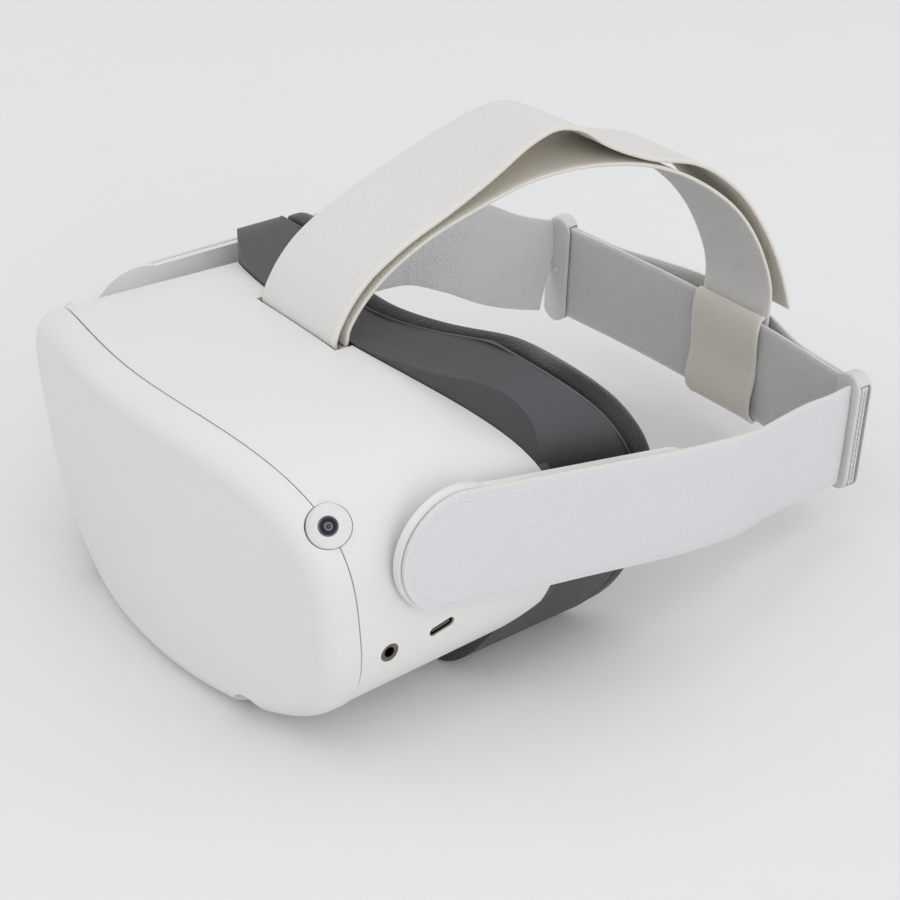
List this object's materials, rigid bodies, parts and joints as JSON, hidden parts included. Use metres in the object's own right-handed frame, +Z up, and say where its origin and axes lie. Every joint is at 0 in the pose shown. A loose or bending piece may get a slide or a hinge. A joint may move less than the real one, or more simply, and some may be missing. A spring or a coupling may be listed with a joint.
{
  "type": "vr headset",
  "caption": "Stand-alone virtual reality headset: crowned visor with corner cameras, sliding lenses, pull-off foam facial interface and a tilting soft head strap.",
  "frame": {"origin": "middle of the underside of the object's box, on the surface it rests on", "axes": "+X to the wearer's left, +Y from the front cover to the back of the head strap, +Z up"},
  "size_m": [0.1908, 0.2671, 0.1518],
  "materials": {
    "cover_plastic": "fine matt moulded plastic, pale grey",
    "housing_plastic": "fine matt moulded plastic, pale grey",
    "bezel_plastic": "matt, ringed",
    "camera_glass": "dark coated lens",
    "battery_wrap": "shrink wrap",
    "inner_plastic": "matt black moulding",
    "heat_metal": "extruded",
    "board_laminate": "solder mask",
    "chassis_metal": "cast, bead blasted",
    "steel": "turned",
    "display_glass": "gloss black",
    "eye_lens": "clear ribbed lens",
    "sensor_window": "infrared pass, gloss",
    "light_pipe": "frosted",
    "key_plastic": "matt",
    "arm_plastic": "matt",
    "speaker_mesh": "black module",
    "side_webbing": "fine herringbone elastic, cream edge",
    "band_webbing": "ribbed elastic webbing",
    "top_webbing": "ribbed webbing, hook and loop backed",
    "buckle_plastic": "satin moulded plastic",
    "interface_plastic": "dark grey spark-eroded texture",
    "interface_foam": "laminated charcoal foam"
  },
  "bodies": {
    "visor": {"front_cover": "cover_plastic", "visor_housing": "housing_plastic", "camera_bezel_upper_left": "bezel_plastic", "camera_bezel_upper_right": "bezel_plastic", "camera_bezel_lower_left": "bezel_plastic", "camera_bezel_lower_right": "bezel_plastic", "camera_lens_upper_left": "camera_glass", "camera_lens_upper_right": "camera_glass", "camera_lens_lower_left": "camera_glass", "camera_lens_lower_right": "camera_glass", "battery": "battery_wrap", "fan_housing": "inner_plastic", "heat_sink": "heat_metal", "main_board": "board_laminate", "mid_chassis": "chassis_metal", "board_screws": "steel", "display_panel": "display_glass", "rail_upper": "steel", "rail_lower": "steel", "rear_shroud": "inner_plastic", "proximity_window": "sensor_window", "headphone_jack": "steel", "charging_port": "steel", "status_light": "light_pipe", "rocker_pin": "steel", "strap_bar": "steel", "pivot_pin_left": "steel", "pivot_pin_right": "steel"},
    "cooling_fan": {"fan_rotor": "inner_plastic"},
    "left_eye": {"lens_barrel_left": "inner_plastic", "lens_left": "eye_lens", "rack_left": "inner_plastic"},
    "right_eye": {"lens_barrel_right": "inner_plastic", "lens_right": "eye_lens", "rack_right": "inner_plastic"},
    "eye_pinion": {"spacing_pinion": "inner_plastic"},
    "power_key": {"power_button": "key_plastic"},
    "volume_key": {"volume_rocker": "key_plastic"},
    "facial_interface": {"facial_frame": "interface_plastic", "face_foam": "interface_foam"},
    "head_strap": {"arm_left": "arm_plastic", "arm_right": "arm_plastic", "speaker_left": "speaker_mesh", "speaker_right": "speaker_mesh", "side_strap_left": "side_webbing", "side_strap_right": "side_webbing", "rear_band_inner": "band_webbing", "rear_band_outer": "band_webbing", "top_strap": "top_webbing"},
    "strap_buckle_left": {"buckle_left": "buckle_plastic"},
    "strap_buckle_right": {"buckle_right": "buckle_plastic"}
  },
  "joints": [
    {"name": "strap_tilt", "type": "hinge", "parent": "visor", "child": "head_strap", "pos_m": [0, -0.0727, 0.0684], "axis": [1, 0, 0], "range_deg": [-5, 20], "deforming": ["top_strap"]},
    {"name": "left_eye_slide", "type": "slide", "parent": "visor", "child": "left_eye", "axis": [1, 0, 0], "range_m": [-0.0025, 0.0025]},
    {"name": "right_eye_slide", "type": "slide", "parent": "visor", "child": "right_eye", "axis": [1, 0, 0], "range_m": [-0.0025, 0.0025]},
    {"name": "pinion_spin", "type": "hinge", "parent": "visor", "child": "eye_pinion", "pos_m": [0, -0.0766, 0.013], "axis": [0, 1, 0], "range_deg": [-36, 36]},
    {"name": "fan_spin", "type": "hinge", "parent": "visor", "child": "cooling_fan", "pos_m": [0.036, -0.1096, 0.0518], "axis": [0, 1, 0], "continuous": true},
    {"name": "power_press", "type": "slide", "parent": "visor", "child": "power_key", "axis": [1, 0, 0], "range_m": [0, 0.0005], "stiffness_N_per_m": 600, "springref_m": -0.0006},
    {"name": "volume_rock", "type": "hinge", "parent": "visor", "child": "volume_key", "pos_m": [0.03, -0.0806, 0.00549], "axis": [0, 1, 0], "range_deg": [-2, 2], "stiffness_Nm_per_rad": 0.08},
    {"name": "interface_pull_off", "type": "slide", "parent": "visor", "child": "facial_interface", "axis": [0, 1, 0], "range_m": [0, 0.03]},
    {"name": "buckle_left_slide", "type": "slide", "parent": "head_strap", "child": "strap_buckle_left", "axis": [-0.9947, 0.0995, 0.026], "range_m": [0, 0.02]},
    {"name": "buckle_right_slide", "type": "slide", "parent": "head_strap", "child": "strap_buckle_right", "axis": [0.9947, 0.0995, -0.026], "range_m": [0, 0.02]}
  ],
  "couplings": [
    {"joint": "right_eye_slide", "follows": "left_eye_slide", "ratio": -1},
    {"joint": "pinion_spin", "follows": "left_eye_slide", "rad_per_m": 250}
  ]
}
